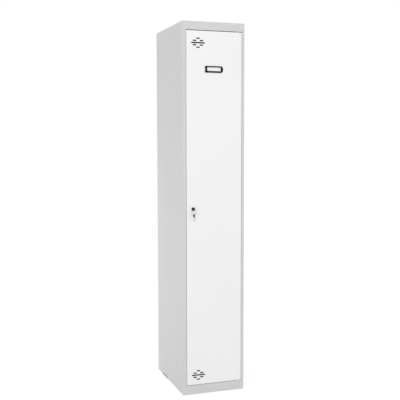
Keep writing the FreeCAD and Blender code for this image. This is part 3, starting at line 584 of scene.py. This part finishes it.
class LOCKER_OT_buffers(bpy.types.Operator):
    """Make the rubber buffers on the door stop"""
    bl_idname = "locker.buffers"
    bl_label = "Make buffers"

    def execute(self, context):
        rubber = moulded_rubber("moulded black rubber", context.scene.locker_colours.rubber)
        for node in ("upper_buffer", "lower_buffer"):
            piece = skin(f"domed_{node}", self.rings(node))
            fit(piece, "carcass", "buffer_rubber", rubber, node)
        return {"FINISHED"}

    def rings(self, node):
        """Turned button: a straight foot, then a dome that stops just short of its pole.

        The dome is r = R cos(t)^0.6, y = y0 - h sin t.
        """
        foot_height, chamfer, fullness, last = 0.9, 0.2, 0.6, np.radians(86)
        low, high = box_mm(node)
        radius = (high[0] - low[0]) / 2
        t = np.linspace(0, last, 10)
        rim = high[1] - foot_height
        dome = np.stack([rim - (rim - low[1]) * np.sin(t), radius * np.cos(t) ** fullness], axis=-1)
        foot = [[high[1], radius - chamfer], [high[1] - chamfer, radius]]
        profile = np.concatenate([foot, dome])
        return turned(profile, (low[0] + high[0]) / 2, (low[2] + high[2]) / 2, count=36)


class LOCKER_OT_label(bpy.types.Operator):
    """Finish the label holder and cut the bare card"""
    bl_idname = "locker.label"
    bl_label = "Make label"

    def execute(self, context):
        scene = context.scene
        tones = scene.locker_colours
        dull = 0.1
        holder = moulded_plastic("black label holder plastic", tones.plastic, scene.locker_sizes, dull)
        dress(holder, "label_frame")
        piece = skin("rounded_label_card", self.card_rings())
        fit(piece, "label_card", "card_paper", uncoated_card("uncoated white card", tones.card), "label_card")
        return {"FINISHED"}

    def card_rings(self):
        """The card's outline with eased corners, at its front and its back, a little smaller at the faces."""
        corner, bevel, face_scale = 1.5, 0.06, 0.9985
        low, high = box_mm("label_card")
        outline = soften(rectangle(low[[0, 2]], high[[0, 2]]), corner, steps=7)
        middle = outline.mean(axis=0)
        levels = np.array([low[1], low[1] + bevel, high[1] - bevel, high[1]])
        scale = np.array([face_scale, 1.0, 1.0, face_scale])[:, None, None]
        flat = middle + (outline - middle)[None] * scale
        depth = np.broadcast_to(levels[:, None], flat.shape[:2])
        return np.stack([flat[..., 0], depth, flat[..., 1]], axis=-1)


class LOCKER_OT_lock(bpy.types.Operator):
    """Make the lock's barrel, nut and cam screw, and finish its plug, cam and washer"""
    bl_idname = "locker.lock"
    bl_label = "Make lock"

    def execute(self, context):
        scene = context.scene
        tones, sizes = scene.locker_colours, scene.locker_sizes
        # Dark chrome on die-cast zinc: smoky and smooth, with soft casting clouds.
        casting = plated_metal(
            "dark chrome on cast zinc", tones.lock, linear("#605C57"),
            rough=0.24, patch=3.0, stretch=(1, 1, 1),
        )
        # Bright zinc plate: silver with faint bluish and straw-coloured clouds.
        zinc = plated_metal(
            "bright zinc plate on lock", tones.zinc, linear(ZINC_CLOUD),
            rough=0.3, patch=4.0, stretch=(1, 1, 2),
        )
        dress(casting, "lock_plug")
        dress(zinc, "lock_cam", "cam_washer")
        low, high = box_mm("lock_housing")
        axis = ((low[0] + high[0]) / 2, (low[2] + high[2]) / 2)
        barrel = skin("threaded_lock_barrel", self.barrel_rings(axis, low, high, sizes), closed=True)
        fit(barrel, "door", "lock_metal", casting, "lock_housing")
        nut = skin("chamfered_lock_nut", self.nut_rings(axis), closed=True)
        fit(nut, "door", "zinc_steel", zinc, "lock_nut")
        screw = skin("pan_head_cam_screw", self.screw_rings(axis))
        fit(screw, "lock_rotor", "zinc_steel", zinc, "cam_screw")
        return {"FINISHED"}

    def barrel_rings(self, axis, low, high, sizes):
        """Closed turned profile of the bezel, barrel and bore.

        On the barrel the radius is R - d (1 - |2 frac(y / p + turn / 2 pi) - 1|), a sharp thread of pitch p
        and depth d that climbs once per turn and fades out at both ends.
        """
        bezel_depth, rim_round, barrel, end_chamfer = 2.0, 0.8, 8.0, 0.4
        bore, lip_depth, dish_depth, dish_inner, dish_outer = 5.55, 0.6, 0.35, 0.5, 1.2
        run_in, run_out, steps_per_turn = 0.4, 0.6, 6
        pitch, depth = sizes.thread_pitch / MM, sizes.thread_depth / MM
        front, back, bezel = low[1], high[1], (high[0] - low[0]) / 2
        face = front + bezel_depth
        t = np.linspace(0, np.pi / 2, 6)
        rim_at = front + rim_round * (1 - np.sin(t))
        rim = np.stack([rim_at, bezel - rim_round + rim_round * np.cos(t)], axis=-1)[::-1]
        # The dish round the plug, the bezel's back, and the barrel's chamfered end and bore
        dish = [[front + dish_depth, bore + dish_inner], [front, bore + dish_outer]]
        under = [[face, bezel], [face, barrel]]
        ends = [[back, barrel - end_chamfer], [back, bore], [front + lip_depth, bore]]
        runs = np.arange(face + run_in, back - run_out, pitch / steps_per_turn)
        thread = np.stack([runs, np.full(len(runs), barrel)], axis=-1)
        profile = np.concatenate([dish, rim, under, thread, ends])
        cut = np.zeros(len(profile))
        first = len(dish) + len(rim) + len(under)
        cut[first:first + len(runs)] = np.clip(np.minimum(runs - runs[0], runs[-1] - runs) / pitch, 0, 1)
        turn, across, up = circle(count=60)
        phase = (profile[:, :1] / pitch + turn[None] / (2 * np.pi)) % 1.0
        radius = profile[:, 1:2] - depth * cut[:, None] * (1 - np.abs(2 * phase - 1))
        along = np.broadcast_to(profile[:, :1], radius.shape)
        return np.stack([axis[0] + radius * across, along, axis[1] + radius * up], axis=-1)

    def nut_rings(self, axis):
        """Six-sided nut.

        At each height the radius is the smaller of the hexagon's and a 30 degree chamfer cone's.
        """
        chamfer_height, chamfer_in = 1.1, 0.25
        bore, mouth, mouth_depth = 8.05, 8.45, 0.4
        low, high = box_mm("lock_nut")
        flat = (high[2] - low[2]) / 2
        turn, across, up = circle(count=120)
        hexagon = flat / np.cos(turn % (np.pi / 3) - np.pi / 6)
        rise = np.linspace(0, chamfer_height, 8)
        cone = flat - chamfer_in + rise * math.sqrt(3)
        outside = np.minimum(np.concatenate([cone, cone[::-1]])[:, None], hexagon[None])
        inside = np.broadcast_to(np.array([mouth, bore, bore, mouth])[:, None], (4, len(turn)))
        radius = np.concatenate([outside, inside])
        along = np.concatenate([
            low[1] + rise, high[1] - rise[::-1],
            [high[1], high[1] - mouth_depth, low[1] + mouth_depth, low[1]],
        ])
        depth = np.broadcast_to(along[:, None], radius.shape)
        return np.stack([axis[0] + radius * across, depth, axis[1] + radius * up], axis=-1)

    def screw_rings(self, axis):
        """Turned pan head on a shank, with a cross sunk in it.

        The cross lies where |x| or |z| is under half its width and r under its reach, and grows shallower
        outwards.
        """
        head_height, head, wall, flat, land, pole = 3.0, 4.0, 1.2, 2.6, 0.1, 0.15
        shank, point, point_length = 2.0, 1.6, 0.4
        arm_half, arm_slope, cross_reach, end_slope = 0.62, 0.22, 2.3, 0.3
        cross_depth, shallowing, face_skin = 1.5, 0.45, 0.1
        low, high = box_mm("cam_screw")
        seat = high[1] - head_height
        t = np.linspace(0, np.pi / 2, 9)
        stem = [
            [low[1], point], [low[1] + point_length, shank], [seat, shank], [seat, head], [seat + wall, head],
        ]
        crown_at = seat + wall + (head_height - wall) * np.sin(t)
        crown = np.stack([crown_at, flat + (head - flat) * np.cos(t)], axis=-1)
        top = np.stack([np.full(12, high[1]), np.linspace(flat - land, pole, 12)], axis=-1)
        rings = turned(np.concatenate([stem, crown, top]), *axis, count=72)
        across, up = rings[..., 0] - axis[0], rings[..., 2] - axis[1]
        arm = np.minimum(np.abs(across), np.abs(up))
        reach = np.hypot(across, up)
        sunk = np.clip((arm_half - arm) / arm_slope, 0, 1) * np.clip((cross_reach - reach) / end_slope, 0, 1)
        head_face = rings[..., 1] > high[1] - face_skin
        rings[..., 1] -= cross_depth * sunk * head_face * (1 - shallowing * reach / cross_reach)
        return rings


class LOCKER_OT_keys(bpy.types.Operator):
    """Make both keys and the split ring"""
    bl_idname = "locker.keys"
    bl_label = "Make keys"

    def execute(self, context):
        scene = context.scene
        tones, sizes = scene.locker_colours, scene.locker_sizes
        # Nickel plate on milled steel: warm silver, with mill lines along the blade.
        nickel = plated_metal(
            "nickel plate on milled steel", tones.key, linear("#BDBAB2"),
            rough=0.24, patch=0.8, stretch=(1, 8, 1),
        )
        plastic = moulded_plastic("black key head plastic", tones.plastic, sizes)
        hole_inset = 4.6
        low, high = box_mm("key_head")
        hole = np.array([(low[0] + high[0]) / 2, low[1] + hole_inset, (low[2] + high[2]) / 2])
        spare_top = box_mm("spare_key_head")[1][2]
        spare_hole = np.array([hole[0], hole[1], spare_top - hole_inset])
        upright = np.eye(3)
        hanging = np.array([[1, 0, 0], [0, 0, -1], [0, 1, 0]])
        for name, at, turn in (("key", hole, upright), ("spare_key", spare_hole, hanging)):
            head = skin(f"moulded_{name}_head", at + self.head_rings(sizes) @ turn, closed=True)
            fit(head, name, "black_plastic", plastic, f"{name}_head")
            blade = skin(f"milled_{name}_blade", at + self.blade_rings() @ turn)
            fit(blade, name, "key_steel", nickel, f"{name}_blade")
        ring = skin("split_key_ring", self.ring_rings(hole, sizes))
        fit(ring, "key_ring", "key_steel", nickel, "key_ring")
        return {"FINISHED"}

    def head_rings(self, sizes):
        """Key head about its hole, with its thickness along X and its blade along +Y.

        A point at bearing u lies between the hole, a circle, and the rim, a superellipse of power 3.2, at a
        distance d from the hole. Its thickness follows a closed path over both faces: quarter circles at the
        hole and the rim, and a panel sunk by a smooth step in between, where the head is wide enough.
        """
        hole_radius, half_length, half_width, rim_middle = 3.0, 7.5, 8.0, 2.9
        border, narrow, widening = 0.14, 2.6, 1.6
        half_thick, edge, recess = 1.6, sizes.head_edge / MM, sizes.head_recess / MM
        _, c, s = circle(count=96)
        power = 2 / 3.2  # A superellipse's coordinates are cos and sin to the power 2 / n.
        hole = hole_radius * np.stack([c, s], axis=-1)
        rim = np.stack([
            rim_middle + half_length * np.sign(c) * np.abs(c) ** power,
            half_width * np.sign(s) * np.abs(s) ** power,
        ], axis=-1)
        width = np.linalg.norm(rim - hole, axis=-1)
        t = np.linspace(0, np.pi / 2, 5)
        share = np.array([border, 0.2, 0.26, 0.32, 0.5, 0.68, 0.74, 0.8, 1 - border])
        sunk = np.clip(np.minimum(share - border, 1 - border - share) / border, 0, 1)
        sunk = sunk * sunk * (3 - 2 * sunk)
        wide = np.clip((width - narrow) / widening, 0, 1)
        inner = edge * (1 - np.cos(t))[:, None] + 0 * width
        face = edge + (width[None] - 2 * edge) * share[:, None]
        outer = width[None] - edge * (1 - np.cos(t[::-1]))[:, None]
        distance = np.concatenate([inner, face, outer])
        rounded = (half_thick - edge + edge * np.sin(t))[:, None]
        lift = np.concatenate([
            np.broadcast_to(rounded, inner.shape),
            half_thick - recess * sunk[:, None] * wide[None],
            np.broadcast_to(rounded[::-1], outer.shape),
        ])
        distance = np.concatenate([distance, distance[::-1]])
        lift = np.concatenate([lift, -lift[::-1]])
        flat = hole[None] + (rim - hole)[None] * (distance / width)[..., None]
        return np.stack([lift, flat[..., 0], flat[..., 1]], axis=-1)

    def blade_rings(self):
        """Milled blade along +Y: one section, grooved in each face, between a cut edge and a top edge.

        The cut edge is half the blade's height down, plus the deepest of four flat-bottomed cuts, each its
        depth times clip(1 - (|y - yc| - flat) / slope). Both edges run together over the tip.
        """
        root, end, half_height = 9.6, 30.4, 3.5
        first_cut, cut_pitch, cut_flat, cut_slope = 3.2, 4.0, 0.4, 1.1
        tip_length, tip_rise, tip_fall = 2.6, 1.9, 2.0
        along = np.linspace(root, end, 160)
        centres = end - first_cut - cut_pitch * np.arange(4)
        depths = np.array([1.4, 0.7, 1.2, 0.9])
        cuts = depths * np.clip(1 - (np.abs(along[:, None] - centres) - cut_flat) / cut_slope, 0, 1)
        tip = np.clip((along - end + tip_length) / tip_length, 0, 1)
        lower = np.maximum(cuts.max(axis=1), tip_rise * tip) - half_height
        upper = half_height - tip_fall * tip
        # Half thickness, with the grooves, and height; the outermost heights are cut off by the two edges
        section_x = np.array([-0.9, -0.9, -0.45, -0.45, -0.9, -0.9, 0.9, 0.9, 0.45, 0.45, 0.9, 0.9])
        section_z = np.array([-9.0, -0.3, -0.1, 1.0, 1.2, 9.0, 9.0, 0.1, -0.1, -1.2, -1.4, -9.0])
        height = np.clip(section_z[None], lower[:, None], upper[:, None])
        across = np.broadcast_to(section_x, height.shape)
        return np.stack([across, np.broadcast_to(along[:, None], height.shape), height], axis=-1)

    def ring_rings(self, hole, sizes):
        """Split ring of two flat turns: a rounded strip carried round two circles less the step.

        At angle a the strip's middle lies at the ring's mean radius, and off the ring's plane by half a leaf
        times a smooth step from -1 to 1 within 14 degrees of the full turn.
        """
        half_wire, half_strip, strip_round = 0.7, 0.68, 0.2
        step, start = math.radians(14), math.radians(35)
        leaf = sizes.ring_leaf / MM
        low, high = box_mm("key_ring")
        middle = np.array([hole[0], hole[1], (low[2] + high[2]) / 2])
        mean = (high[0] - low[0]) / 2 - half_wire
        angle = np.linspace(step, 4 * np.pi - step, 300)
        ease = np.clip((angle - 2 * np.pi) / step, -1, 1)
        offset = 0.5 * leaf * np.sin(ease * np.pi / 2)
        section = soften(rectangle((-half_strip, -leaf / 2), (half_strip, leaf / 2)), strip_round, steps=4)
        bearing = angle + start
        radius = mean + section[None, :, 0]
        across = radius * np.cos(bearing)[:, None]
        up = radius * np.sin(bearing)[:, None]
        off = offset[:, None] + section[None, :, 1]
        return np.stack([middle[0] + across, middle[1] - off, middle[2] + up], axis=-1)


class LOCKER_OT_stage(bpy.types.Operator):
    """Set up the floor, the lamps, the even light and the camera"""
    bl_idname = "locker.stage"
    bl_label = "Set stage"

    def execute(self, context):
        scene = context.scene
        studio = scene.locker_studio
        scene.view_settings.view_transform = "Standard"
        self.lay_floor(scene)
        self.light(scene, studio)
        camera = bpy.data.objects.new("camera", bpy.data.cameras.new("camera"))
        camera.data.lens = studio.lens
        camera.data.sensor_width = SENSOR_WIDTH
        camera.location = studio.stand
        camera.rotation_euler = (math.pi / 2 + studio.tilt, studio.lean, studio.swing)
        scene.collection.objects.link(camera)
        scene.camera = camera
        return {"FINISHED"}

    def seen_directly(self, tree):
        """1 for rays from the camera, and for reflected and transmitted rays.

        So metal shows the backdrop as the camera does.
        """
        path = add(tree, "ShaderNodeLightPath").outputs
        mirrored = add(tree, "ShaderNodeMath", {0: path["Is Camera Ray"], 1: path["Is Glossy Ray"]},
                       operation="ADD")
        total = add(tree, "ShaderNodeMath", {0: mirrored.outputs[0], 1: path["Is Transmission Ray"]},
                    operation="ADD", use_clamp=True)
        return total.outputs[0]

    def lay_floor(self, scene):
        """A level square just under the feet."""
        edge = np.full((4, 3), -FLOOR_DROP)
        edge[:, :2] = rectangle((-FLOOR_REACH, -FLOOR_REACH), (FLOOR_REACH, FLOOR_REACH))
        mesh = bpy.data.meshes.new("studio_floor")
        mesh.from_pydata(edge.tolist(), [], [(0, 1, 2, 3)])
        floor = bpy.data.objects.new("studio_floor", mesh)
        scene.collection.objects.link(floor)
        # Matt white studio board: white to the eye with a pale contact shadow, and a plain grey for bounced
        # light.
        material, tree = blank_finish("matt white studio board")
        shadowed = add(tree, "ShaderNodeBsdfDiffuse", {"Color": grey(FLOOR_SHADOWED)})
        glow = add(tree, "ShaderNodeEmission", {"Color": grey(1.0), "Strength": FLOOR_GLOW})
        white = add(tree, "ShaderNodeAddShader", {0: shadowed.outputs[0], 1: glow.outputs[0]})
        bounced = add(tree, "ShaderNodeBsdfDiffuse", {"Color": grey(FLOOR_BOUNCE)})
        mix = add(tree, "ShaderNodeMixShader", {
            0: self.seen_directly(tree), 1: bounced.outputs[0], 2: white.outputs[0],
        })
        add(tree, "ShaderNodeOutputMaterial", {"Surface": mix.outputs[0]})
        mesh.materials.append(material)

    def light(self, scene, studio):
        """Even light all round, white where it is seen, a large lamp in front and a small one at the left."""
        world = bpy.data.worlds.new("studio")
        world.use_nodes = True
        tree = world.node_tree
        tree.nodes.clear()
        even = add(tree, "ShaderNodeBackground", {"Color": grey(1.0), "Strength": studio.ambient})
        white = add(tree, "ShaderNodeBackground", {"Color": grey(1.0), "Strength": 1.0})
        mix = add(tree, "ShaderNodeMixShader", {
            0: self.seen_directly(tree), 1: even.outputs[0], 2: white.outputs[0],
        })
        add(tree, "ShaderNodeOutputWorld", {"Surface": mix.outputs[0]})
        scene.world = world
        self.hang_lamp(scene, "front_lamp", studio.front_power, **FRONT_LAMP)
        self.hang_lamp(scene, "side_lamp", studio.side_power, **SIDE_LAMP)

    def hang_lamp(self, scene, name, power, width, place, turn):
        """A soft round lamp, left out of the picture."""
        lamp = bpy.data.objects.new(name, bpy.data.lights.new(name, "AREA"))
        lamp.data.shape = "DISK"
        lamp.data.size = width
        lamp.data.energy = power
        lamp.location = place
        lamp.rotation_euler = (math.radians(turn[0]), 0.0, math.radians(turn[1]))
        lamp.visible_camera = False
        scene.collection.objects.link(lamp)


OPERATORS = (
    LOCKER_OT_carcass, LOCKER_OT_door, LOCKER_OT_rail, LOCKER_OT_pivots, LOCKER_OT_feet, LOCKER_OT_rivets,
    LOCKER_OT_buffers, LOCKER_OT_label, LOCKER_OT_lock, LOCKER_OT_keys, LOCKER_OT_stage,
)


class LOCKER_PT_looks(bpy.types.Panel):
    """Sizes, colours and makers of the locker's looks"""
    bl_label = "Steel locker"
    bl_idname = "LOCKER_PT_looks"
    bl_space_type = "VIEW_3D"
    bl_region_type = "UI"
    bl_category = "Locker"

    def draw(self, context):
        scene = context.scene
        for group in (scene.locker_colours, scene.locker_sizes, scene.locker_studio):
            column = self.layout.column()
            for name in group.__annotations__:
                column.prop(group, name)
        for operator in OPERATORS:
            self.layout.operator(operator.bl_idname)


GROUPS = {"locker_colours": LockerColours, "locker_sizes": LockerSizes, "locker_studio": LockerStudio}


def register():
    for name, group in GROUPS.items():
        bpy.utils.register_class(group)
        setattr(bpy.types.Scene, name, bpy.props.PointerProperty(type=group))
    for kind in (*OPERATORS, LOCKER_PT_looks):
        bpy.utils.register_class(kind)


def unregister():
    for kind in (LOCKER_PT_looks, *reversed(OPERATORS)):
        bpy.utils.unregister_class(kind)
    for name, group in reversed(GROUPS.items()):
        delattr(bpy.types.Scene, name)
        bpy.utils.unregister_class(group)


def main():
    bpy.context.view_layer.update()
    register()
    bpy.ops.locker.carcass()
    bpy.ops.locker.door()
    bpy.ops.locker.rail()
    bpy.ops.locker.pivots()
    bpy.ops.locker.feet()
    bpy.ops.locker.rivets()
    bpy.ops.locker.buffers()
    bpy.ops.locker.label()
    bpy.ops.locker.lock()
    bpy.ops.locker.keys()
    bpy.ops.locker.stage()


if __name__ == "__main__":
    main()
